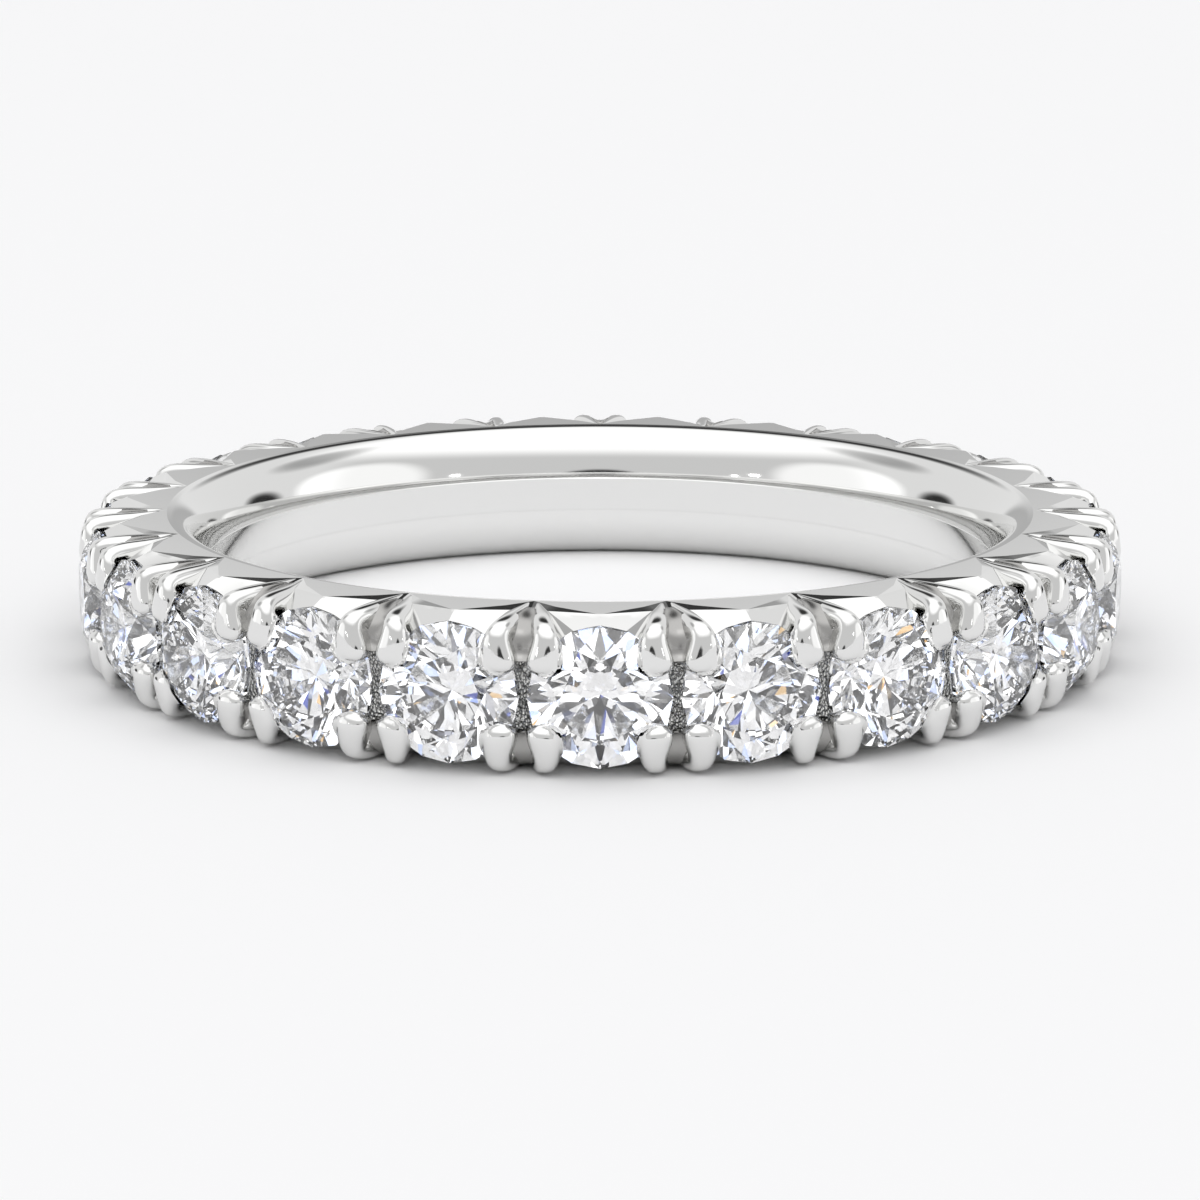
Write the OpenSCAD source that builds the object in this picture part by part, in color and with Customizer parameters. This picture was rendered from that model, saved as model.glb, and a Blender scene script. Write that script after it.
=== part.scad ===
// Eternity ring: one cast band set all round with brilliant cut stones that share split claws.
// Lengths are millimetres and angles are degrees.
// The ring lies on a side face at z = 0, Z is the finger's axis, and a stone faces -Y.

/* [Ring] */
// Inside diameter, the finger size
bore_d = 16.5; // [15:0.1:20]
// Metal between the finger and the point of a stone
floor_t = 0.95; // [0.7:0.05:1.5]
// Metal between the edge of a stone and the side face
rim_w = 0.14; // [0.1:0.01:0.2]
// Length of the straight wall in the middle of the bore
straight_w = 0.76; // [0.6:0.04:1.6]
// Radial width of the rounding between that wall and a side face
comfort_w = 0.65; // [0.3:0.01:0.7]
// Angle of the fine crease where the rounding leaves the straight wall
comfort_crease = 4; // [2:0.5:8]

/* [Side faces] */
// Width of the flat side face at its narrowest, where a pair of claws starts
land_w = 0.15; // [0.1:0.01:0.4]
// Distance from the stones' girdles in to the points of the side face
petal_in = 0.32; // [0.25:0.01:0.4]
// How far the bright cuts pass under the edge of a seat
cut_under = 0.03; // [0.02:0.005:0.05]

/* [Stones] */
// Diameter of a stone across its girdle
stone_d = 2.7; // [2.4:0.05:3.2]
// Least space between two neighbouring stones
stone_gap = 0.12; // [0.1:0.01:0.3]
// Diameter across the table's corners, as a share of the stone's
table_share = 0.57; // [0.53:0.01:0.62]
// Thickness of the girdle, as a share of the stone's diameter
girdle_share = 0.03; // [0.02:0.005:0.04]
// Length of the lower girdle facets, as a share of the way to the stone's point
lower_share = 0.77; // [0.7:0.01:0.85]
// Slope of the main crown facets
crown_angle = 34.5; // [33:0.5:36]
// Slope of the main pavilion facets
pavilion_angle = 40.8; // [40:0.2:42]
// Space between a stone and its seat
seat_gap = 0.04; // [0.03:0.005:0.05]

/* [Posts and claws] */
// Depth of a post's outer face under the stones' girdles
post_in = 0.01; // [0:0.005:0.02]
// Height of the claws over the stones' girdles
claw_h = 0.45; // [0.4:0.01:0.55]
// Distance between the tips of an upper claw and the lower claw under it
tip_space = 0.92; // [0.8:0.02:1.1]
// Radius of a claw's round tip
tip_r = 0.29; // [0.25:0.01:0.32]
// Distance from a post's middle to the middle of a tip
tip_out = 0.45; // [0.4:0.01:0.5]
// Radius of a claw at its shoulder
shoulder_r = 0.25; // [0.22:0.01:0.28]
// Distance from a post's middle to the middle of a shoulder
shoulder_out = 0.36; // [0.32:0.01:0.4]
// Radius of a claw where it leaves the side face
root_r = 0.06; // [0.04:0.01:0.08]
// Distance from a post's middle to the middle of a claw's root
root_out = 0.1; // [0.09:0.01:0.12]
// Depth of the claws under the side face, which the ring lies on
claw_in = 0.03; // [0.02:0.01:0.06]
// Height of the saddle between the two claws of a pair over the stones' girdles
saddle_h = 0.1; // [0.05:0.01:0.15]
// Length of the saddle's level top
saddle_flat = 0.24; // [0.2:0.02:0.3]
// Angle of the saddle's ends from a line straight out of the ring
saddle_lean = 15; // [10:1:20]

/* [Hidden] */
// A brilliant has eight main facets round it, above and below the girdle.
mains = 8;
main_turn = 360 / mains;
stone_r = stone_d / 2;
girdle_t = stone_d * girdle_share;
table_r = stone_r * table_share;
star_r = (stone_r + table_r * cos(main_turn / 2)) / 2;
lower_r = stone_r * (1 - lower_share);

bore_r = bore_d / 2;
girdle_r = bore_r + floor_t + stone_r * tan(pavilion_angle) + girdle_t / 2;
band_w = stone_d + 2 * rim_w;
mid_z = band_w / 2;
stone_count = floor(2 * PI * girdle_r / (stone_d + stone_gap));
sector = 360 / stone_count;

// The rounding's arc starts on the straight wall and ends on the side face.
comfort_h = (band_w - straight_w) / 2;
comfort_lean = comfort_w * cos(comfort_crease) - comfort_h * sin(comfort_crease);
comfort_r = (comfort_w * comfort_w + comfort_h * comfort_h) / (2 * comfort_lean);

// A side face's outline has a point over each stone and a valley at each post.
valley_r = bore_r + comfort_w + land_w;
petal_r = girdle_r - petal_in;
post_r = girdle_r - post_in;
// A seat's straight wall reaches a little under the girdle.
seat_foot = girdle_t / 2 + seat_gap / cos(pavilion_angle) - seat_gap * tan(pavilion_angle);
// The cuts slope so that a point's ridge passes under the foot of that wall.
cut_slope = (rim_w - seat_gap) / (petal_in - seat_foot - cut_under);
// They widen the outline until its valleys reach the posts' outer faces.
cut_scale = post_r / valley_r;
cut_h = (cut_scale - 1) * petal_r * cut_slope;

// Middles of a claw's root, shoulder and tip: X outward, Y along the band, Z from the band's middle.
root = [valley_r, root_out, mid_z - claw_in - root_r];
shoulder = [petal_r + shoulder_r, shoulder_out, mid_z - claw_in - shoulder_r];
tip = [girdle_r + claw_h - tip_r, tip_out, tip_space / 2 + tip_r];
// A finger of a claw is a little thinner at its neck than the round end over it.
neck = 0.94;
// How deep the saddle's foot is sunk in the post
saddle_in = 0.8;
// How far a cutting solid runs past the metal that it cuts
past = 0.1;

function stone_name(i) = str("diamond_", i < 10 ? "0" : "", i);

function stone_turn(i) = -90 + (i - 1) * sector;

// Height of a crown facet's plane over the girdle, and depth of a pavilion facet's plane under it
function crown_rise(r) = (stone_r - r) * tan(crown_angle);

function pavilion_drop(r) = (stone_r - r) * tan(pavilion_angle);

// Points evenly round the Z axis
function circle_of(count, r, z, turn = 0) =
    [for (i = [0 : count - 1]) let (a = turn + i * 360 / count) [r * cos(a), r * sin(a), z]];

// A side face's outline at height z, as large as scale times the real one
function outline(scale, z) = [
    for (i = [0 : 2 * stone_count - 1])
        let (r = scale * (i % 2 == 0 ? petal_r : valley_r), a = stone_turn(1) + i * sector / 2)
            [r * cos(a), r * sin(a), z]
];

// A closed solid from a stack of outlines of equally many points
module stack(outlines) {
    n = len(outlines[0]);
    last = len(outlines) - 1;
    low = n * (last + 1);
    high = low + 1;
    ends = [[0, 0, outlines[0][0][2]], [0, 0, outlines[last][0][2]]];
    polyhedron(concat([for (line = outlines) each line], ends), [
        for (i = [0 : n - 1], k = [-1 : last])
            let (j = (i + 1) % n)
                k < 0 ? [low, i, j]
                : k == last ? [high, last * n + j, last * n + i]
                : [k * n + i, (k + 1) * n + i, (k + 1) * n + j, k * n + j]
    ]);
}

// A tapered finger from one point to another, with a round end
module finger(from, to, from_r, to_r) {
    run = to - from;
    translate(from)
        rotate([0, acos(run[2] / norm(run)), atan2(run[1], run[0])])
            rotate_extrude($fn = 48) {
                polygon([[0, 0], [from_r, 0], [neck * to_r, norm(run)], [0, norm(run)]]);
                translate([0, norm(run)])
                    intersection() {
                        circle(r = to_r, $fn = 48);
                        translate([0, -to_r]) square([to_r, 2 * to_r]);
                    }
            }
}

// One claw: it leaves the side face and bends down over a stone's edge
module claw() {
    finger(root, shoulder, root_r, shoulder_r);
    finger(shoulder, tip, neck * shoulder_r, tip_r);
}

// The low bridge of metal between the two claws of a pair
module saddle() {
    top = girdle_r + saddle_h;
    end = saddle_flat / 2;
    foot = end + saddle_in * tan(saddle_lean);
    translate([0, 0, tip[2]])
        rotate([90, 0, 0])
            linear_extrude(height = 2 * shoulder_out, center = true)
                polygon([
                    [top - saddle_in, -foot],
                    [top, -end],
                    [top, end],
                    [top - saddle_in, foot]
                ]);
}

module claw_pair() {
    claw();
    mirror([0, 1, 0]) claw();
    saddle();
}

module post_claws() {
    claw_pair();
    mirror([0, 0, 1]) claw_pair();
}

// The scalloped ring before it is bored: side faces, bright cuts and the posts' outer faces
module blank() {
    intersection() {
        stack([
            outline(1, 0),
            outline(cut_scale, cut_h),
            outline(cut_scale, band_w - cut_h),
            outline(1, band_w)
        ]);
        translate([0, 0, -past]) cylinder(h = band_w + 2 * past, r = post_r, $fn = 360);
    }
}

// Half of the finger's space: the straight wall and the rounding under it
module bore_half() {
    rotate_extrude($fn = 360) {
        translate([0, -past]) square([bore_r, mid_z + 2 * past]);
        difference() {
            translate([0, -past]) square([bore_r + comfort_r, comfort_h + 2 * past]);
            translate([
                bore_r + comfort_r * cos(comfort_crease),
                comfort_h + comfort_r * sin(comfort_crease)
            ])
                circle(r = comfort_r, $fn = 360);
        }
    }
}

module bore() {
    bore_half();
    translate([0, 0, band_w]) mirror([0, 0, 1]) bore_half();
}

// The space for one stone: its outline turned round its axis and grown by the seat's gap
// The turn starts half a main facet away from the ridge between two cuts.
module seat() {
    girdle_h = girdle_t / 2;
    star_h = crown_rise(star_r * cos(main_turn / 2));
    star_angle = atan(star_h / (stone_r - star_r));
    over = seat_gap / cos(star_angle);
    rotate([0, 0, main_turn / 2]) rotate_extrude($fn = 96)
        polygon([
            [0, -seat_foot - (stone_r + seat_gap) * tan(pavilion_angle)],
            [stone_r + seat_gap, -seat_foot],
            [stone_r + seat_gap, girdle_h + over - seat_gap * tan(star_angle)],
            [star_r, girdle_h + star_h + over],
            [0, girdle_h + star_h + over]
        ]);
}

// Puts a stone or its seat at place i, with its axis pointing out of the ring
module at_stone(i) {
    rotate([0, 0, stone_turn(i)])
        translate([girdle_r, 0, mid_z])
            rotate([0, 90, 0])
                children();
}

// The cast metal, all one piece: every other seat is cut first, then the ones between
module band() {
    color("gainsboro")
        difference() {
            difference() {
                union() {
                    blank();
                    for (i = [1 : stone_count])
                        rotate([0, 0, stone_turn(i) + sector / 2])
                            translate([0, 0, mid_z])
                                post_claws();
                }
                bore();
                for (i = [1 : 2 : stone_count]) at_stone(i) seat();
            }
            for (i = [2 : 2 : stone_count]) at_stone(i) seat();
        }
}

// A round brilliant with 57 facets and a faceted girdle, its table facing +Z
module brilliant() {
    halves = 2 * mains;
    girdle_h = girdle_t / 2;
    points = concat(
        [[0, 0, -girdle_h - pavilion_drop(0)]],
        circle_of(mains, lower_r, -girdle_h - pavilion_drop(lower_r * cos(main_turn / 2)), main_turn / 2),
        circle_of(halves, stone_r, -girdle_h),
        circle_of(halves, stone_r, girdle_h),
        circle_of(mains, star_r, girdle_h + crown_rise(star_r * cos(main_turn / 2)), main_turn / 2),
        circle_of(mains, table_r, girdle_h + crown_rise(table_r))
    );
    lower = 1;
    under = lower + mains;
    over = under + halves;
    star = over + halves;
    table = star + mains;
    polyhedron(points, concat(
        [for (k = [0 : mains - 1])
            let (
                back = (k + mains - 1) % mains,
                next = (k + 1) % mains,
                a = 2 * k,
                b = 2 * k + 1,
                c = (2 * k + 2) % halves
            )
                each [
                    [0, lower + back, under + a, lower + k],
                    [lower + k, under + a, under + b],
                    [lower + k, under + b, under + c],
                    [under + a, over + a, over + b, under + b],
                    [under + b, over + b, over + c, under + c],
                    [star + k, over + b, over + a],
                    [star + k, over + c, over + b],
                    [table + k, star + k, over + a, star + back],
                    [table + k, table + next, star + k]
                ]
        ],
        [[for (k = [mains - 1 : -1 : 0]) table + k]]
    ));
}

module diamond(i) {
    color("aliceblue") at_stone(i) brilliant();
}

band();
for (i = [1 : stone_count])
    diamond(i);
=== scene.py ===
# %% [markdown]
# # An eternity ring, dressed for a studio picture
#
# The ring is one cast band of polished white metal with 23 round brilliants all round it.
# Its exact solids come packed as a fixed frame: one node for the band, one for each stone.
# They hold the true sizes, so every new surface below is worked out from the same lengths.
# The stones stay as they are. The band gets two new surfaces: the polished shank with its
# cuts, posts and seats, and the claws with the gutters between them.

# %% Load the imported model
import math

import bmesh
import bpy
import numpy as np
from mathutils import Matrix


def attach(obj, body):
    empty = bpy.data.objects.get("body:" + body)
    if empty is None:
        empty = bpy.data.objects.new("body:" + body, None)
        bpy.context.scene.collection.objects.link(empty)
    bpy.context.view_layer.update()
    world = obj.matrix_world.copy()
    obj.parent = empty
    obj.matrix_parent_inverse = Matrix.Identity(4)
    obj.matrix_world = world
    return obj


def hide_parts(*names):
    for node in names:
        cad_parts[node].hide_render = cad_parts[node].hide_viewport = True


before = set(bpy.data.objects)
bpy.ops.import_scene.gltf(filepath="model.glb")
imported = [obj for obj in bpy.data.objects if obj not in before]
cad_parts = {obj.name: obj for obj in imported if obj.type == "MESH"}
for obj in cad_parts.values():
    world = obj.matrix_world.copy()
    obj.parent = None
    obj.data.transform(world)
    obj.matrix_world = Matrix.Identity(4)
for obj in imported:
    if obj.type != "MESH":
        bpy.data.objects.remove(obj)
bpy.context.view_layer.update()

stones = sorted(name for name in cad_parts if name.startswith("diamond_"))

# %% [markdown]
# ## Sizes
#
# Lengths are in millimetres until a mesh is made, because a jeweller thinks in them. Each
# stone has a frame of its own: x points out of the ring along the stone's axis, y runs along
# the band, and z is the finger's axis, measured from the middle of the band's width. The
# stones' angles are those of a usual round brilliant, so the seats are cut to the same.

# %% Sizes of the ring
MM = 0.001
COUNT = len(stones)
SECTOR = 2 * math.pi / COUNT
STONE_R, GIRDLE_T = 1.35, 0.081
PAVILION = math.tan(math.radians(40.8))
CROWN = math.tan(math.radians(34.5))
BORE_R = 8.25
GIRDLE_R = BORE_R + 0.95 + STONE_R * PAVILION + GIRDLE_T / 2
HALF_W = 1.49
POST_R = GIRDLE_R - 0.01
# A seat is a straight wall a hair wider than the stone, over a cone that runs under its pavilion.
SEAT_R = STONE_R + 0.008
SEAT_FOOT = GIRDLE_R - 0.0588
FIRST_STONE = -math.pi / 2
print("girdles at radius %.3f mm, one stone every %.3f degrees" % (GIRDLE_R, math.degrees(SECTOR)))

# %% [markdown]
# ## Small helpers
#
# A surface here is a grid of points: rows by columns by three. The helpers turn grids into
# faces, mirror and repeat them, and weld what meets, all as whole arrays. The same handful
# serves every piece, so a new shape is only a new formula.

# %% Helpers for meshes
def grid_faces(rows, cols, ring=False):
    """Corner numbers of the quads of a grid: each joins a point, the next in its row and the two above.

    In a ring the last point of a row is joined to the first.
    """
    r, c = np.meshgrid(np.arange(rows - 1), np.arange(cols if ring else cols - 1), indexing="ij")
    d = (c + 1) % cols
    low, high = r * cols, (r + 1) * cols
    return np.stack([low + c, low + d, high + d, high + c], axis=-1).reshape(-1, 4)


def joined(parts):
    """One list of points and one of faces from several pairs: each part's corners are counted on."""
    points, faces, low = [], [], 0
    for p, f in parts:
        points.append(p.reshape(-1, 3))
        faces.append(f + low)
        low += points[-1].shape[0]
    return np.concatenate(points), np.concatenate(faces)


def mirrored(points, faces, axis):
    """The shape and its mirror image across the plane where that axis is zero, its faces turned back."""
    flip = np.ones(3)
    flip[axis] = -1
    return joined([(points, faces), (points * flip, faces[:, ::-1])])


def turned(points, angle):
    """Points turned about the finger's axis: x' = x cos a - y sin a, y' = x sin a + y cos a."""
    x, y, z = points[..., 0], points[..., 1], points[..., 2]
    c, s = math.cos(angle), math.sin(angle)
    return np.stack([x * c - y * s, x * s + y * c, z], axis=-1)


def all_round(points, faces, first):
    """COUNT copies of a shape, one sector apart, the first one turned by the angle first."""
    return joined([(turned(points, first + k * SECTOR), faces) for k in range(COUNT)])


def welded(points, faces, step=1e-4):
    """Corners that share a place to within a step become one."""
    keys = np.round(points / step).astype(np.int64)
    _, keep, number = np.unique(keys, axis=0, return_index=True, return_inverse=True)
    return points[keep], number.reshape(-1)[faces]


def smooth(x, xs, ys):
    """A smooth line through knots: a cubic between each two, its slopes those of the neighbouring knots."""
    xs, ys = np.asarray(xs, float), np.asarray(ys, float)
    slope = np.gradient(ys, xs)
    k = np.clip(np.searchsorted(xs, x) - 1, 0, len(xs) - 2)
    h = xs[k + 1] - xs[k]
    t = np.clip((x - xs[k]) / h, 0, 1)
    return (
        (1 + 2 * t) * (1 - t) ** 2 * ys[k] + t * (1 - t) ** 2 * h * slope[k]
        + t**2 * (3 - 2 * t) * ys[k + 1] - t**2 * (1 - t) * h * slope[k + 1]
    )


def make_piece(name, points, faces, finishes, finish_of, crease=None):
    """A mesh object at the origin from points in millimetres over the band's middle.

    finish_of holds each face's number in finishes. Edges that turn by more than crease, in
    degrees, stay sharp. A quad with two corners in one place becomes a triangle.
    """
    points, faces_w = welded(points, faces)
    corner = faces_w != np.roll(faces_w, -1, axis=1)
    whole = corner.sum(axis=1) >= 3
    corner, faces_w = corner[whole], faces_w[whole]
    sides = corner.sum(axis=1)
    mesh = bpy.data.meshes.new(name)
    mesh.vertices.add(len(points))
    mesh.vertices.foreach_set("co", ((points + [0, 0, HALF_W]) * MM).ravel())
    mesh.loops.add(int(sides.sum()))
    mesh.loops.foreach_set("vertex_index", faces_w[corner].astype(np.int32))
    mesh.polygons.add(len(faces_w))
    mesh.polygons.foreach_set("loop_start", (np.cumsum(sides) - sides).astype(np.int32))
    for finish in finishes:
        mesh.materials.append(finish)
    mesh.polygons.foreach_set("material_index", finish_of[whole].astype(np.int32))
    mesh.update(calc_edges=True)
    mesh.validate()
    shape = bmesh.new()
    shape.from_mesh(mesh)
    bmesh.ops.recalc_face_normals(shape, faces=shape.faces)
    open_edges = sum(not edge.is_manifold for edge in shape.edges)
    shape.to_mesh(mesh)
    shape.free()
    mesh.shade_smooth()
    if crease is not None:
        mesh.set_sharp_from_angle(angle=math.radians(crease))
    piece = bpy.data.objects.new(name, mesh)
    bpy.context.scene.collection.objects.link(piece)
    triangles = int((sides - 2).sum())
    print("%s: %d points, %d triangles, %d open edges" % (name, len(points), triangles, open_edges))
    return piece


# %% Helpers for finishes
def linear(colour):
    """A hex sRGB colour as linear RGBA: the curve is a power of 2.4 with a short straight foot."""
    parts = [int(colour[k : k + 2], 16) / 255 for k in (1, 3, 5)]
    return tuple(p / 12.92 if p <= 0.04045 else ((p + 0.055) / 1.055) ** 2.4 for p in parts) + (1.0,)


def add(tree, kind, settings=None, **links):
    """Adds a node: settings are its own properties or its sockets' values, links say what feeds its sockets.

    A link is named for its socket, with _ for a space, or i and the socket's number.
    """
    made = tree.nodes.new(kind)
    for key, value in (settings or {}).items():
        if isinstance(key, str) and hasattr(made, key):
            setattr(made, key, value)
        else:
            made.inputs[key].default_value = value
    for key, source in links.items():
        numbered = key[0] == "i" and key[1:].isdigit()
        tree.links.new(source, made.inputs[int(key[1:]) if numbered else key.replace("_", " ")])
    return made


def new_finish(name):
    """An empty material with its output node."""
    finish = bpy.data.materials.new(name)
    finish.use_nodes = True
    finish.node_tree.nodes.clear()
    return finish, finish.node_tree, finish.node_tree.nodes.new("ShaderNodeOutputMaterial")


# %% [markdown]
# ## Camera
#
# The camera's height shows in how far the ring's circles are squashed: 13.8 degrees above the
# table. Its distance shows in how much larger the front stones look than the far ones: 82 mm.
# The lens then follows from the ring's width in the frame, and a small upward shift puts the
# ring a little below the middle, as a view camera would.

# %% Camera
ELEVATION = math.radians(13.8)
DISTANCE = 82.2 * MM
SENSOR, LENS, SHIFT = 36, 116.7, 0.0346
camera = bpy.data.objects.new("studio_camera", bpy.data.cameras.new("studio_camera"))
camera.data.sensor_width, camera.data.lens, camera.data.shift_y = SENSOR, LENS, SHIFT
camera.data.clip_start, camera.data.clip_end = 0.001, 10
camera.location = (0, -DISTANCE * math.cos(ELEVATION), DISTANCE * math.sin(ELEVATION))
camera.rotation_euler = (math.pi / 2 - ELEVATION, 0, 0)
bpy.context.scene.collection.objects.link(camera)
bpy.context.scene.camera = camera
bpy.context.scene.view_settings.view_transform = "Standard"
print("camera at", [round(v, 4) for v in camera.location])

# %% [markdown]
# ## Table and light
#
# Polished metal and diamonds have no look of their own: they show the room. A jewellery
# photographer hangs a ceiling of light over the ring, closes it in with white card, and adds
# small black cards, so that edges read. One room can't suit the metal, the stones and the
# table alike, so each is often shot for itself and the pictures are joined. Here the world
# does that in one go, because its shader can tell the kinds of rays apart.

# %% Table
# A seamless sheet of matt paper: it scatters light evenly, so it only takes a soft shadow.
paper, tree, out = new_finish("matte_white_table")
shader = add(
    tree,
    "ShaderNodeBsdfPrincipled",
    {"Base Color": linear("#FAFAFA"), "Roughness": 0.9, "Specular IOR Level": 0.1},
)
tree.links.new(shader.outputs[0], out.inputs[0])
TABLE_HALF = 1.5
corners = TABLE_HALF * np.array([(-1, -1, 0), (1, -1, 0), (1, 1, 0), (-1, 1, 0)])
table = bpy.data.objects.new("table", bpy.data.meshes.new("table"))
table.data.from_pydata(corners.tolist(), [], [(0, 1, 2, 3)])
table.data.materials.append(paper)
bpy.context.scene.collection.objects.link(table)
print("table: %.0f m wide" % (2 * TABLE_HALF))

# %% The room, and a soft round zone of it
room = bpy.data.worlds.new("studio_room")
room.use_nodes = True
bpy.context.scene.world = room
world = room.node_tree
world.nodes.clear()
direction = add(world, "ShaderNodeTexCoord").outputs["Generated"]


def zone(toward, wide, narrow, inside, outside=1.0):
    """A value of the room that changes softly about a direction.

    The cosine of the angle to that direction goes, on a smooth step, from the cosine of
    wide, where the value is outside, to that of narrow, where it is inside.
    """
    facing = add(world, "ShaderNodeVectorMath", {"operation": "DOT_PRODUCT", 1: toward}, i0=direction)
    limits = {"From Min": math.cos(math.radians(wide)), "From Max": math.cos(math.radians(narrow))}
    values = {"To Min": outside, "To Max": inside, "interpolation_type": "SMOOTHSTEP"}
    return add(world, "ShaderNodeMapRange", {**limits, **values}, Value=facing.outputs["Value"]).outputs[0]


# %% What the metal mirrors
# A ceiling of light leans to the front, and the rear wall is a little brighter than the front.
ceiling = zone((0, -0.17, 0.985), 57, 36, 1.0, 0.0)
walls = zone((0, 1, 0), 100, 80, 0.88, 0.71)
mirrored_room = add(world, "ShaderNodeMix", {"data_type": "FLOAT", "B": 1.34}, Factor=ceiling, A=walls).outputs[0]
# A card is a direction, the angles from it where the card starts and is full, and the share
# of light it leaves, over 1 for a box that shines. One that isn't in the middle stands at
# both sides.
CARDS = (
    # black, low in front: the dark slit in each claw's tip
    ((0, -0.99, -0.14), 17, 13, 0.06),
    # black, high at the rear: the dark line between the side face and the bright cuts
    ((0, 0.83, 0.555), 17, 6, 0.05),
    # grey, low at the rear: the tone of the flat side face
    ((0, 0.998, -0.07), 20, 14, 0.55),
    # white boxes, low at the sides: the bright stripe in the far rounding
    ((0.97, -0.2, 0.1), 28, 20, 1.65),
    # black, low at the sides: the dark ends of that stripe
    ((0.87, 0.48, 0.04), 13, 8, 0.04),
    # grey, high at the sides: the cuts that slope into the seats
    ((0.65, 0.32, 0.69), 16, 3, 0.5),
)
for (x, y, z), wide, narrow, share in CARDS:
    for side in (-1, 1) if x else (1,):
        card = zone((side * x, y, z), wide, narrow, share)
        mirrored_room = add(world, "ShaderNodeMath", {"operation": "MULTIPLY"}, i0=mirrored_room, i1=card).outputs[0]
metal_light = add(world, "ShaderNodeBackground", {"Color": linear("#FFFFFF")}, Strength=mirrored_room)
print("kinds of card round the metal:", len(CARDS))

# %% What lights the table
# Most of this light comes from overhead, which keeps the shadow soft and short.
overhead = zone((0, -0.2, 0.98), 60, 20, 1.626, 0.422)
table_light = add(world, "ShaderNodeBackground", {"Color": linear("#FEFEFF")}, Strength=overhead)

# %% What the stones see
# They see a white tent with a dark hole in front, which shows as a brilliant's grey arrows.
hole_way = (0, -math.cos(ELEVATION), math.sin(ELEVATION))
hole_dark = zone(hole_way, 20, 17, 0.01, 1.95)
stone_light = add(world, "ShaderNodeBackground", Strength=hole_dark)
# Grey cells about 10 degrees wide make facets differ, and small coloured ones stand for the
# fire that diamond makes by splitting light. A ramp turns a cell's chance into its colour.
CELLS = (
    (5.0, ((0.0, "#08080C"), (0.15, "#54555E"), (0.23, "#B4C0DC"), (0.34, "#E8F0FF"), (0.52, "#FFFFFF"))),
    (17.0, ((0.0, "#3A4A9A"), (0.022, "#C9A36E"), (0.045, "#4A4744"), (0.1, "#C4D2FF"), (0.2, "#FFFFFF"))),
)
tints = []
for scale, ramp in CELLS:
    cells = add(world, "ShaderNodeTexVoronoi", {"Scale": scale}, Vector=direction)
    chance = add(world, "ShaderNodeSeparateColor", Color=cells.outputs["Color"])
    tint = add(world, "ShaderNodeValToRGB", Fac=chance.outputs["Red"])
    tint.color_ramp.interpolation = "CONSTANT"
    for position, colour in ramp[1:]:
        tint.color_ramp.elements.new(position)
    for stop, (position, colour) in zip(tint.color_ramp.elements, ramp):
        stop.position, stop.color = position, linear(colour)
    tints.append(tint.outputs["Color"])
both = add(world, "ShaderNodeMix", {"data_type": "RGBA", "blend_type": "MULTIPLY", 0: 1.0}, i6=tints[0], i7=tints[1])
world.links.new(both.outputs[2], stone_light.inputs["Color"])
print("cells of the tent: scales", [scale for scale, _ in CELLS])

# %% One room for each kind of ray
path = add(world, "ShaderNodeLightPath").outputs
for_metal, for_stones, for_table = (light.outputs[0] for light in (metal_light, stone_light, table_light))
lit = add(world, "ShaderNodeMixShader", Fac=path["Is Transmission Ray"], i1=for_metal, i2=for_stones)
lit = add(world, "ShaderNodeMixShader", Fac=path["Is Diffuse Ray"], i1=lit.outputs[0], i2=for_table)
world.links.new(lit.outputs[0], add(world, "ShaderNodeOutputWorld").inputs[0])
# Blender can aim rays at the bright parts of a world, but with one map for all kinds of rays.
# Here each kind sees another room, so the map would mislead it and is left out.
room.cycles.sampling_method = "NONE"
# Light goes round inside a diamond many times before it leaves.
cycles = bpy.context.scene.cycles
cycles.max_bounces = cycles.transmission_bounces = 32
cycles.glossy_bounces = 16
# What the stones would throw on the table is left out: at this size it is mostly noise.
cycles.caustics_refractive = False
print("bounces:", cycles.max_bounces, "in all,", cycles.glossy_bounces, "between mirrors")

# %% Lamps
# Each is a square soft box: its place in millimetres, the width of its side and its watts.
# The three small ones put the sparks on the edges, and the large one fills from the front.
LAMPS = {
    "front_box": ((0, -420, 560), 260, 0.1),
    "left_spot": ((-370, -330, 60), 26, 0.008),
    "left_spot_low": ((-330, -370, 42), 16, 0.003),
    "right_spot": ((350, -350, 52), 24, 0.007),
}
for name, (place, width, watts) in LAMPS.items():
    lamp = bpy.data.objects.new(name, bpy.data.lights.new(name, "AREA"))
    lamp.data.size = width * MM
    lamp.data.energy = watts
    lamp.location = [v * MM for v in place]
    lamp.rotation_euler = (-lamp.location).to_track_quat("-Z", "Y").to_euler()
    bpy.context.scene.collection.objects.link(lamp)
print("lamps:", list(LAMPS))
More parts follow.
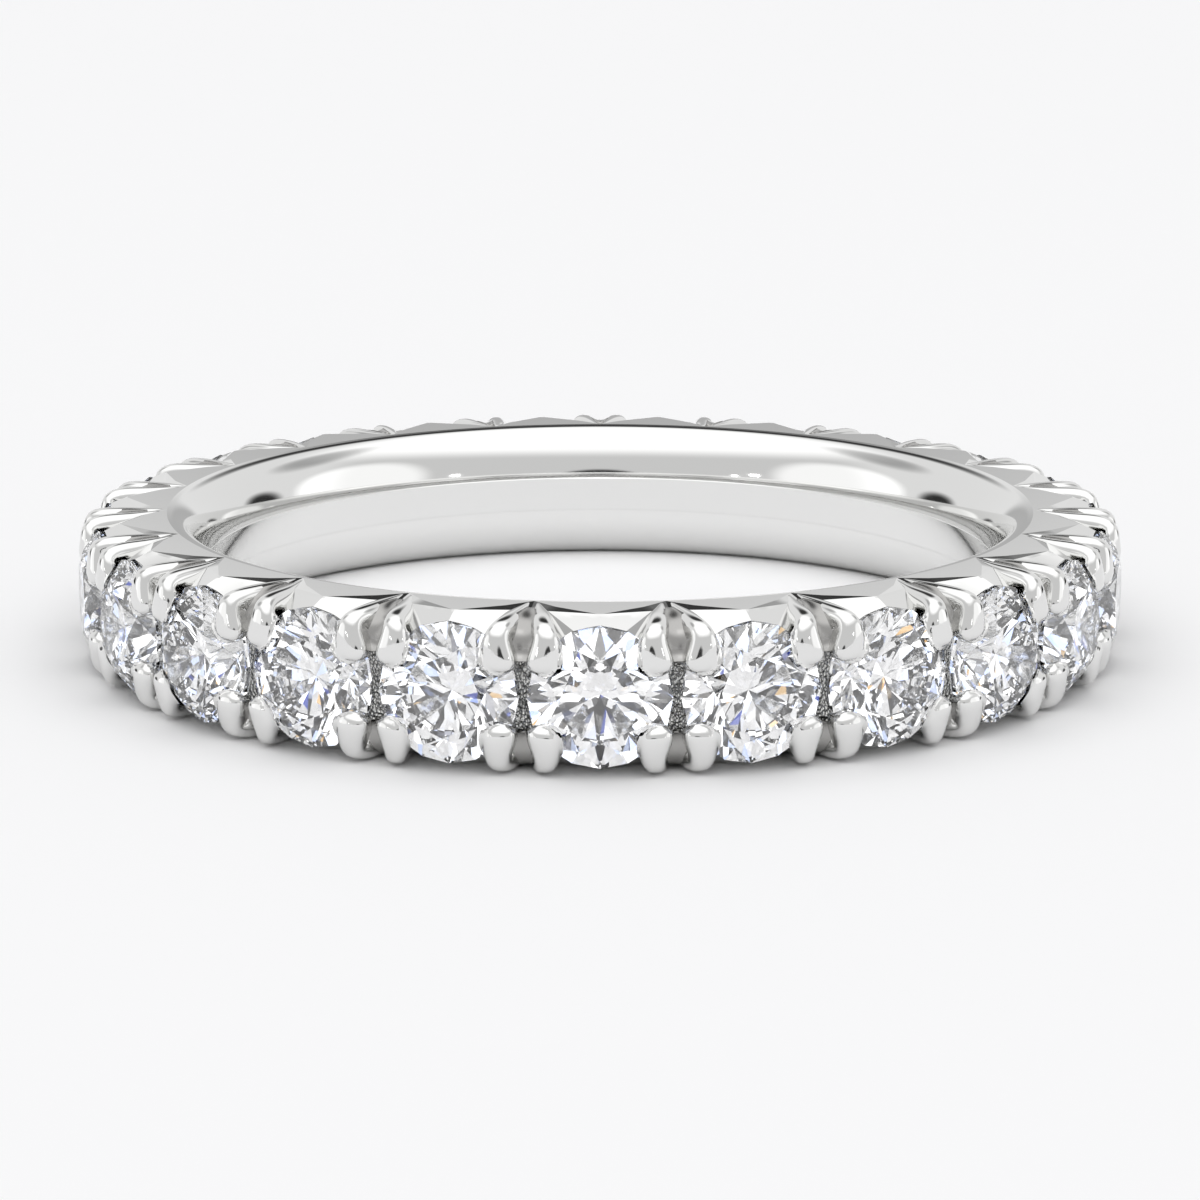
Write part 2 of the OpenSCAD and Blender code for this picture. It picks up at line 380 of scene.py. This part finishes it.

# %% [markdown]
# ## Finishes of the metal
#
# The ring is cast in a white precious metal, most likely platinum. One mirror all over would
# look too clean: a polishing wheel reaches the outside, but not the gutters between two
# claws, and the outer faces of the posts are sandblasted so that the stones stand out. So
# the metal has three finishes. All are platinum, a slightly warm grey, and they differ in
# what its surface does to the reflection. The gutters' metal is also painted darker: this is
# painted shade for the shade that falls between two claws.

# %% Polished metal
# Buffed with ever finer pastes. The eye gets the room, a little softened by what the wheel
# leaves: waves about 0.6 mm long, and hairlines about 0.05 mm apart that change the gloss.
WAVE, HAIRLINE = 0.6 * MM, 0.05 * MM
polished, tree, out = new_finish("polished_platinum")
place = add(tree, "ShaderNodeTexCoord").outputs["Object"]
waves = add(tree, "ShaderNodeTexNoise", {"Scale": 1 / WAVE, "Detail": 2.0}, Vector=place)
lines = add(tree, "ShaderNodeTexNoise", {"Scale": 1 / HAIRLINE, "Detail": 3.0}, Vector=place)
gloss = add(
    tree,
    "ShaderNodeMapRange",
    {"From Min": 0.3, "From Max": 0.7, "To Min": 0.035, "To Max": 0.075},
    Value=lines.outputs["Fac"],
)
relief = add(tree, "ShaderNodeBump", {"Strength": 0.012, "Distance": 0.02 * MM}, Height=waves.outputs["Fac"])
shader = add(
    tree,
    "ShaderNodeBsdfPrincipled",
    {"Base Color": linear("#E6E6E5"), "Metallic": 1.0},
    Roughness=gloss.outputs[0],
    Normal=relief.outputs[0],
)
tree.links.new(shader.outputs[0], out.inputs[0])

# %% Metal of the gutters
# Only a thin brush gets in between two claws, and its duller skin lets the claws' reflections
# run together there. The darker base colour is painted shade, standing in for the shade between the claws.
gutter, tree, out = new_finish("brushed_platinum_painted_shade")
shader = add(
    tree,
    "ShaderNodeBsdfPrincipled",
    {"Base Color": linear("#ABAAA8"), "Metallic": 1.0, "Roughness": 0.24},
)
tree.links.new(shader.outputs[0], out.inputs[0])

# %% Sandblasted metal
# Blasted with grit, whose pits are about 0.06 mm wide. The eye gets dark and bright grains.
GRIT = 0.06 * MM
blasted, tree, out = new_finish("sandblasted_platinum")
place = add(tree, "ShaderNodeTexCoord").outputs["Object"]
pits = add(tree, "ShaderNodeTexVoronoi", {"Scale": 1 / GRIT}, Vector=place)
relief = add(tree, "ShaderNodeBump", {"Strength": 1.0, "Distance": GRIT}, Height=pits.outputs["Distance"])
shader = add(
    tree,
    "ShaderNodeBsdfPrincipled",
    {"Base Color": linear("#C4C4C2"), "Metallic": 1.0, "Roughness": 0.16},
    Normal=relief.outputs[0],
)
tree.links.new(shader.outputs[0], out.inputs[0])
print("finishes:", [finish.name for finish in (polished, gutter, blasted)])

# %% [markdown]
# ## The shank
#
# The shank is the whole ring of metal but its claws: the finger's hole with its broad soft
# rounding, two flat side faces with a point over each stone, and the seats that the stones
# lie in. It could be carved with booleans, but they leave ragged triangles that a mirror
# finish betrays. So it is drawn as two grids over a quarter of one stone's sector, which
# meet along the outline of the side face, and then mirrored and turned.
#
# A graver's cuts are flat, so each is a plane: a narrow bevel round the side face, a bright
# cut down to each stone from both sides, and a steep one into the valley at each post. The
# metal's outside is the lowest of them, which puts every edge where two planes truly meet.

# %% Outline of the side face
# From the point over a stone, along the bright cut to the fold, and into the valley at the post.
PEAK = np.array([10.0, 0.0])
STEM = np.array([10.0, 0.05])
FOLD = np.array([9.42, 0.82])
VALLEY_R = 9.03
VALLEY = VALLEY_R * np.array([math.cos(SECTOR / 2), math.sin(SECTOR / 2)])


# %% Cuts
def plane_through(a, b, slope):
    """A plane that falls outward at a slope in degrees through two points.

    It comes as nx, ny, the offset of its line on the side face, and its fall over its run.
    Its level normal meets the run from a to b at the angle whose cosine is their drop over
    the slope and the run.
    """
    run, drop, rise = (b - a)[:2], a[2] - b[2], math.tan(math.radians(slope))
    swing = math.acos(drop / (rise * np.hypot(*run)))
    way = math.atan2(run[1], run[0])
    way = way + swing if math.cos(way + swing) > 0 else way - swing
    nx, ny = math.cos(way), math.sin(way)
    return nx, ny, nx * a[0] + ny * a[1] - (HALF_W - a[2]) / rise, rise


def on_face(point):
    """A point of the side face's outline in space."""
    return np.array([*point, HALF_W])


# A narrow bevel borders the side face. It widens to 0.2 mm at the fold, where all the cuts meet.
FOLD_LOW = np.array([9.578, 0.963, HALF_W - 0.045])
SEAT_SIDE = np.array([10.308, 0.5, 1.25])
BEVEL_SLOPE, BRIGHT_SLOPE, SIDE_SLOPE, RIDGE_SLOPE = 12, 26, 45, 19
BEVEL = plane_through(on_face(STEM), on_face(FOLD), BEVEL_SLOPE)
VALLEY_BEVEL = plane_through(on_face(FOLD), on_face(VALLEY), BEVEL_SLOPE)
BRIGHT_CUT = plane_through(on_face(STEM), FOLD_LOW, BRIGHT_SLOPE)
SIDE_CUT = plane_through(FOLD_LOW, SEAT_SIDE, SIDE_SLOPE)
RIDGE = (1.0, 0.0, PEAK[0], math.tan(math.radians(RIDGE_SLOPE)))
DISH = 0.3
print("slopes of bevel, bright cut, side cut and ridge:", BEVEL_SLOPE, BRIGHT_SLOPE, SIDE_SLOPE, RIDGE_SLOPE)


def cut_x(cut, y, z):
    """How far out a cut lies at y and z: its fall HALF_W - z over its slope, past its line."""
    nx, ny, offset, slope = cut
    return (offset + (HALF_W - z) / slope - ny * y) / nx


def dish(y, z):
    """The graver leaves the bright cut a little hollow: DISH times y times the height over the fold."""
    fold_z = FOLD_LOW[2] + (y - FOLD_LOW[1]) * (FOLD_LOW[2] - SEAT_SIDE[2]) / (FOLD_LOW[1] - SEAT_SIDE[1])
    return DISH * np.maximum(y, 0) * np.maximum(z - fold_z, 0)


def metal_x(y, z):
    """The metal's outside: the lowest of the cuts, the ridge's narrow top and the cylinder of the posts."""
    outside = np.sqrt(POST_R**2 - y**2)
    for cut in (BEVEL, VALLEY_BEVEL, SIDE_CUT, RIDGE):
        outside = np.minimum(outside, cut_x(cut, y, z))
    return np.minimum(outside, cut_x(BRIGHT_CUT, y, z) - dish(y, z))


def seat_x(rho):
    """The seat's cone: it falls from its foot towards the stone's point."""
    return SEAT_FOOT - (SEAT_R - rho) * PAVILION


# %% Where the metal's outside meets a seat
def seat_edge(angle):
    """Radius from the stone's axis where the outside meets the seat, by halving the stretch 28 times."""
    low, high = np.full_like(angle, 0.2), np.full_like(angle, SEAT_R)
    on_wall = metal_x(SEAT_R * np.sin(angle), SEAT_R * np.cos(angle)) > SEAT_FOOT
    for _ in range(28):
        mid = (low + high) / 2
        over = metal_x(mid * np.sin(angle), mid * np.cos(angle)) > seat_x(mid)
        low, high = np.where(over, mid, low), np.where(over, high, mid)
    return np.where(on_wall, SEAT_R, (low + high) / 2)


def along(a, b, n):
    """n points from a towards b, b left out."""
    t = np.arange(n)[:, None] / n
    return a + (b - a) * t


# %% The rim: the side face's outline, then the line down the middle of a post
STEM_STEPS, FOLD_STEPS = 7, 4
outline = np.concatenate([PEAK[None], along(STEM, FOLD, STEM_STEPS), along(FOLD, VALLEY, FOLD_STEPS), VALLEY[None]])
# The post's line lies in the plane between two sectors: over the bevel, down the valley, then straight.
tangent = math.tan(SECTOR / 2)
steep = SIDE_CUT[0] + SIDE_CUT[1] * tangent
gentle = VALLEY_BEVEL[0] + VALLEY_BEVEL[1] * tangent
valley_fall = SIDE_CUT[2] / steep - VALLEY_BEVEL[2] / gentle
valley_fall /= 1 / (VALLEY_BEVEL[3] * gentle) - 1 / (SIDE_CUT[3] * steep)
VALLEY_FOOT = 0.82
heights = np.concatenate([np.linspace(HALF_W - valley_fall, VALLEY_FOOT, 6), np.linspace(VALLEY_FOOT, 0.0, 8)[1:]])
valley_x = np.minimum((SIDE_CUT[2] + (HALF_W - heights) / SIDE_CUT[3]) / steep, POST_R * math.cos(SECTOR / 2))
post_line = np.stack([valley_x, valley_x * tangent, heights], axis=-1)
rim = np.concatenate([np.column_stack([outline, np.full(len(outline), HALF_W)]), post_line])
# The bevel's lower border has a point below each of the outline's, and on the post it is the rim itself.
stem_border = along(on_face(STEM), FOLD_LOW, STEM_STEPS)
fold_border = along(FOLD_LOW, post_line[0], FOLD_STEPS)
border = np.concatenate([rim[:1], stem_border, fold_border, post_line[:1], post_line])
print("rim of a quarter of a sector:", rim.shape[0], "points, the valley starts %.3f mm down" % valley_fall)

# %% Angles round the stone at which the columns of the seat stand
stem_angle = math.asin(STEM[1] / SEAT_R)
fold_angle = math.radians(21.35)
corner_angle = math.radians(52.0)
angles = np.concatenate([
    [0],
    np.linspace(stem_angle, fold_angle, 8)[:-1],
    np.linspace(fold_angle, corner_angle, 10)[:-1],
    np.linspace(corner_angle, math.pi / 2, 9),
])
assert len(angles) == len(rim) == len(border)

# %% The two grids of the shank
# The wall is straight to BORE_FLAT, steps back by LIP over LIP_RUN, and rounds off until it is
# nearly WIDEST. From there a fine bevel leads to the side face, EDGE_RUN wide and EDGE_DROP high.
BORE_FLAT, LIP, LIP_RUN = 0.36, 0.012, 0.02
WIDEST, EDGE_RUN, EDGE_DROP = 8.985, 0.035, 0.008


def bore_profile():
    """Radius and height of the hole from the band's middle to the side face.

    The rounding is a part of an ellipse, from 83 degrees at the lip to 3 degrees at the top.
    """
    height = HALF_W - EDGE_DROP - BORE_FLAT - LIP_RUN
    last = math.radians(83)
    turn = np.linspace(last, math.radians(3), 34)
    r = WIDEST - (WIDEST - BORE_R - LIP) * np.sin(turn) / math.sin(last)
    z = HALF_W - EDGE_DROP - height * (1 - np.cos(turn)) / (1 - math.cos(last))
    r = np.concatenate([[BORE_R] * 3, r, [WIDEST + EDGE_RUN]])
    z = np.concatenate([[0, BORE_FLAT / 2, BORE_FLAT], z, [HALF_W]])
    return r, z


def hole_grid():
    """Rows climb the hole's profile, then cross the flat face in straight lines to its outline."""
    r, z = bore_profile()
    way = np.arctan2(outline[:, 1], outline[:, 0])
    r, z = r[:, None], np.broadcast_to(z[:, None], (len(r), len(way)))
    curved = np.stack([r * np.cos(way), r * np.sin(way), z], axis=-1)
    start = curved[-1, :, :2]
    t = np.linspace(0, 1, 4)[1:, None, None]
    flat = start + (outline - start) * t
    height = np.full(flat.shape[:2] + (1,), HALF_W)
    return np.concatenate([curved, np.concatenate([flat, height], axis=-1)])


def seat_grid():
    """Rows run from the rim over the cuts to the seat's edge, down its wall and cone to its point."""
    rho = seat_edge(angles)
    edge = np.stack([rho * np.sin(angles), rho * np.cos(angles)], axis=-1)
    t = np.array([0.2, 0.4, 0.6, 0.8])[:, None, None]
    across = border[:, 1:] + (edge - border[:, 1:]) * t
    outside = np.concatenate([metal_x(across[..., 0], across[..., 1])[..., None], across], axis=-1)
    outside = np.concatenate([rim[None], border[None], outside])
    edge_x = np.where(rho < SEAT_R - 1e-6, seat_x(rho), metal_x(edge[:, 0], edge[:, 1]))
    shrink = np.array([1, 0.82, 0.62, 0.42, 0.24, 0.1, 0])[:, None]
    depth = np.minimum(rho, SEAT_R) * shrink
    cone = np.stack([seat_x(depth), depth * np.sin(angles), depth * np.cos(angles)], axis=-1)
    return np.concatenate([outside, np.concatenate([edge_x[:, None], edge], axis=1)[None], cone])


# %% The whole shank
hole, seat = hole_grid(), seat_grid()
shank_faces = [grid_faces(*hole.shape[:2]), grid_faces(*seat.shape[:2])]
# The posts' outer faces are the rows above the seat's edge, in the columns past the corner.
EDGE_ROW, CORNER_COLUMN = 6, 17
seat_rows, seat_cols = np.divmod(np.arange(len(shank_faces[1])), seat.shape[1] - 1)
is_post = np.concatenate([np.zeros(len(shank_faces[0])), (seat_rows < EDGE_ROW) & (seat_cols >= CORNER_COLUMN)])
points, faces = joined([(hole, shank_faces[0]), (seat, shank_faces[1])])
points, faces = mirrored(*mirrored(points, faces, 1), 2)
points, faces = all_round(points, faces, FIRST_STONE)
shank = make_piece("polished_shank", points, faces, [polished, blasted], np.tile(is_post, 4 * COUNT), crease=6.5)

# %% [markdown]
# ## The claws
#
# At each post and on each side face two tapered fingers of metal start together in the
# valley, part, and bend down over the edges of the two stones. They could be sculpted, but
# a finger is simply a closed tube: its crest follows a rounded corner from the side face to
# the front, its section is a full oval that swells towards the tip, and its end is round.
# What would touch a stone is lifted to just over its crown, as a setter leaves it.

# %% The crest that all claws follow
ROOT_R, CREST_R = 9.0, 10.86
CREST_Z, CREST_TOP = 0.6, HALF_W - 0.005
CREST_POWER, CREST_LEAN = 6.5, 0.12
TIP_RUN, TIP_IN = 0.17, 0.01


def crest():
    """The crest as x, z and the distance along it: a quarter of a superellipse, then TIP_RUN down and TIP_IN in.

    Its front leans in: x loses CREST_LEAN times the height over CREST_Z.
    """
    t = np.linspace(0, math.pi / 2, 400)
    x = ROOT_R + (CREST_R - ROOT_R) * np.sin(t) ** (2 / CREST_POWER)
    z = CREST_Z + (CREST_TOP - CREST_Z) * np.cos(t) ** (2 / CREST_POWER)
    x -= CREST_LEAN * (z - CREST_Z) * np.sin(t)
    x, z = np.append(x, CREST_R - TIP_IN), np.append(z, CREST_Z - TIP_RUN)
    return x, z, np.concatenate([[0], np.cumsum(np.hypot(np.diff(x), np.diff(z)))])


crest_x, crest_z, crest_run = crest()
CREST_LENGTH = crest_run[-1]
print("crest of a claw: %.2f mm long" % CREST_LENGTH)


def on_crest(s, reach=0.02):
    """Places at the distances s along the crest, and the directions out of it.

    A direction is square to the line from a point reach before the place to one reach after.
    """
    x, z = np.interp(s, crest_run, crest_x), np.interp(s, crest_run, crest_z)
    run_x = np.interp(s + reach, crest_run, crest_x) - np.interp(s - reach, crest_run, crest_x)
    run_z = np.interp(s + reach, crest_run, crest_z) - np.interp(s - reach, crest_run, crest_z)
    size = np.hypot(run_x, run_z)
    return x, z, -run_z / size, run_x / size


# %% Keeping metal off the stones
# The band of rim that is lifted with the crown keeps a quad's lower corner from cutting its edge.
CLEARANCE, RIM_BAND = 0.045, 0.1


def clear_of_stones(points):
    """Points over a stone's outline move out along its axis to CLEARANCE over its crown.

    The crown is taken as a cone from the girdle to the star facets, and as flat inside.
    """
    star_r = (STONE_R + STONE_R * 0.57 * math.cos(math.pi / 8)) / 2
    star_h = (STONE_R - star_r * math.cos(math.pi / 8)) * CROWN
    for side in (-1, 1):
        local = turned(points, -side * SECTOR / 2)
        rho = np.hypot(local[..., 1], local[..., 2])
        crown = np.interp(rho, [star_r, STONE_R], [star_h, 0.0]) + GIRDLE_R + GIRDLE_T / 2 + CLEARANCE
        lifted = np.maximum(local[..., 0], crown)
        local[..., 0] = np.where(rho < SEAT_R + RIM_BAND, lifted, local[..., 0])
        points = turned(local, side * SECTOR / 2)
    return points


# %% One claw
# Along the crest: how far a claw's outer and inner sides lie from the post's middle, and half its thickness.
SIDES_AT = [0, 0.3, 0.75, 1.33, 1.62, 1.86, 2.05, 2.24, 2.6]
OUTER_SIDE = [0.09, 0.22, 0.44, 0.58, 0.66, 0.72, 0.755, 0.76, 0.72]
INNER_SIDE = [0.04, 0.05, 0.07, 0.13, 0.19, 0.2, 0.16, 0.1, 0.06]
THICK_AT = [0, 0.4, 1.0, 1.5, 2.0, 2.6]
THICK = [0.03, 0.13, 0.23, 0.27, 0.29, 0.29]
ROUND_TIP, ROUND_ROOT = 0.34, 0.1
OVAL_POWER = 2.5


def claw_grid(rows=26, cols=32):
    """A superellipse is carried along the crest, its top on it, in rows that lie closer towards the tip.

    At the tip its width and thickness shrink as a quarter of a circle, and at the root as a
    square root, so both ends are round.
    """
    s = CREST_LENGTH * (1 - (1 - np.linspace(0, 1, rows)) ** 1.25)
    x, z, out_x, out_z = on_crest(s)
    outer, inner = smooth(s, SIDES_AT, OUTER_SIDE), smooth(s, SIDES_AT, INNER_SIDE)
    thick = smooth(s, THICK_AT, THICK)
    past = np.clip((s - (CREST_LENGTH - ROUND_TIP)) / ROUND_TIP, 0, 1)
    round_end = np.sqrt(np.maximum(1 - past**2, 0))
    root = np.sqrt(np.clip(s / ROUND_ROOT, 0, 1))
    a = np.arange(cols) * 2 * math.pi / cols
    across = np.sign(np.cos(a)) * np.abs(np.cos(a)) ** (2 / OVAL_POWER)
    up = np.sign(np.sin(a)) * np.abs(np.sin(a)) ** (2 / OVAL_POWER)
    width = ((outer - inner) / 2 * round_end * root)[:, None] * across
    lift = (thick * round_end * root)[:, None] * up - thick[:, None]
    y = ((outer + inner) / 2)[:, None] + width
    return np.stack([x[:, None] + out_x[:, None] * lift, y, z[:, None] + out_z[:, None] * lift], axis=-1)


# %% [markdown]
# ## The gutters
#
# Between the two claws of a pair runs a gutter, as wide as the gap they leave. It follows
# the same corner as the claws but deeper, and its floor is nearly flat, so it mirrors one
# even tone where a round groove would show the whole room. It is a closed thin shell whose
# back is hidden in the post.

# %% One gutter
GUTTER_START, GUTTER_RUN = 9.05, 1.38
GUTTER_FOOT, GUTTER_RISE = 0.68, 0.78
GUTTER_LEAN, GUTTER_DEPTH, GUTTER_SIDE = 0.08, 0.12, 0.28
HALF_AT = [0.05, 0.2, 0.45, 0.8, 1.0]
HALF_GUTTER = [0.07, 0.15, 0.26, 0.3, 0.24]


def hollow_grid(rows=22, cols=20):
    """The floor is a quarter of a superellipse of power 4, in rows that lie closer towards the valley.

    Its sides rise as the square of the way across, to GUTTER_SIDE times half the width. The
    back is the same surface, GUTTER_DEPTH below.
    """
    t = np.linspace(0.1, 1, rows) ** 1.3
    x = GUTTER_START + GUTTER_RUN * np.sin(t * math.pi / 2) ** (2 / 4)
    z = GUTTER_FOOT + GUTTER_RISE * np.abs(np.cos(t * math.pi / 2)) ** (2 / 4)
    x = x - GUTTER_LEAN * (z - GUTTER_FOOT) * np.sin(t * math.pi / 2)
    run_x, run_z = np.gradient(x), np.gradient(z)
    size = np.hypot(run_x, run_z)
    half = smooth(t, HALF_AT, HALF_GUTTER)
    n = cols // 2
    across = np.concatenate([np.linspace(-1, 1, n), np.linspace(1, -1, cols - n)])
    rise = GUTTER_SIDE * half[:, None] * across**2
    lift = np.where(np.arange(cols) < n, rise, rise - GUTTER_DEPTH)
    x = x[:, None] + (-run_z / size)[:, None] * lift
    z = z[:, None] + (run_x / size)[:, None] * lift
    return np.stack([x, half[:, None] * across, z], axis=-1)


# %% All claws and gutters
def capped(grid):
    """A tube with its two ends closed: the end rows are drawn in to their middles."""
    first, last = grid[:1].mean(axis=1, keepdims=True), grid[-1:].mean(axis=1, keepdims=True)
    ends = [np.repeat(first, grid.shape[1], axis=1), grid, np.repeat(last, grid.shape[1], axis=1)]
    return np.concatenate(ends)


claw = capped(clear_of_stones(claw_grid()))
claw_part = mirrored(claw.reshape(-1, 3), grid_faces(*claw.shape[:2], ring=True), 1)
hollow = capped(clear_of_stones(hollow_grid()))
hollow_faces = grid_faces(*hollow.shape[:2], ring=True)
in_gutter = np.repeat([0, 1], [len(claw_part[1]), len(hollow_faces)])
points, faces = mirrored(*joined([claw_part, (hollow, hollow_faces)]), 2)
points, faces = all_round(points, faces, FIRST_STONE + SECTOR / 2)
claws = make_piece("split_claws", points, faces, [polished, gutter], np.tile(in_gutter, 2 * COUNT))

for piece in (shank, claws):
    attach(piece, "root")
    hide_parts("band")

# %% [markdown]
# ## The stones
#
# The stones keep their exact solids, because a round brilliant's looks come from facets that
# are flat and at the right angles. What is left to give them is the gem itself. Diamond
# bends light more than any other clear gem, so light that enters the crown is thrown back
# out of it, and its polish is so fine that it needs no roughness.

# %% Diamond
# Sawn, ground and polished on an iron wheel with diamond dust. The eye gets hard-edged
# flashes of white and grey.
diamond, tree, out = new_finish("diamond")
shader = add(
    tree,
    "ShaderNodeBsdfPrincipled",
    {"Base Color": linear("#FFFFFF"), "Roughness": 0.0, "IOR": 2.417, "Transmission Weight": 1.0},
)
tree.links.new(shader.outputs[0], out.inputs[0])
for name in stones:
    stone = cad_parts[name]
    stone.data.materials.clear()
    stone.data.materials.append(diamond)
print("stones cut from diamond:", len(stones))
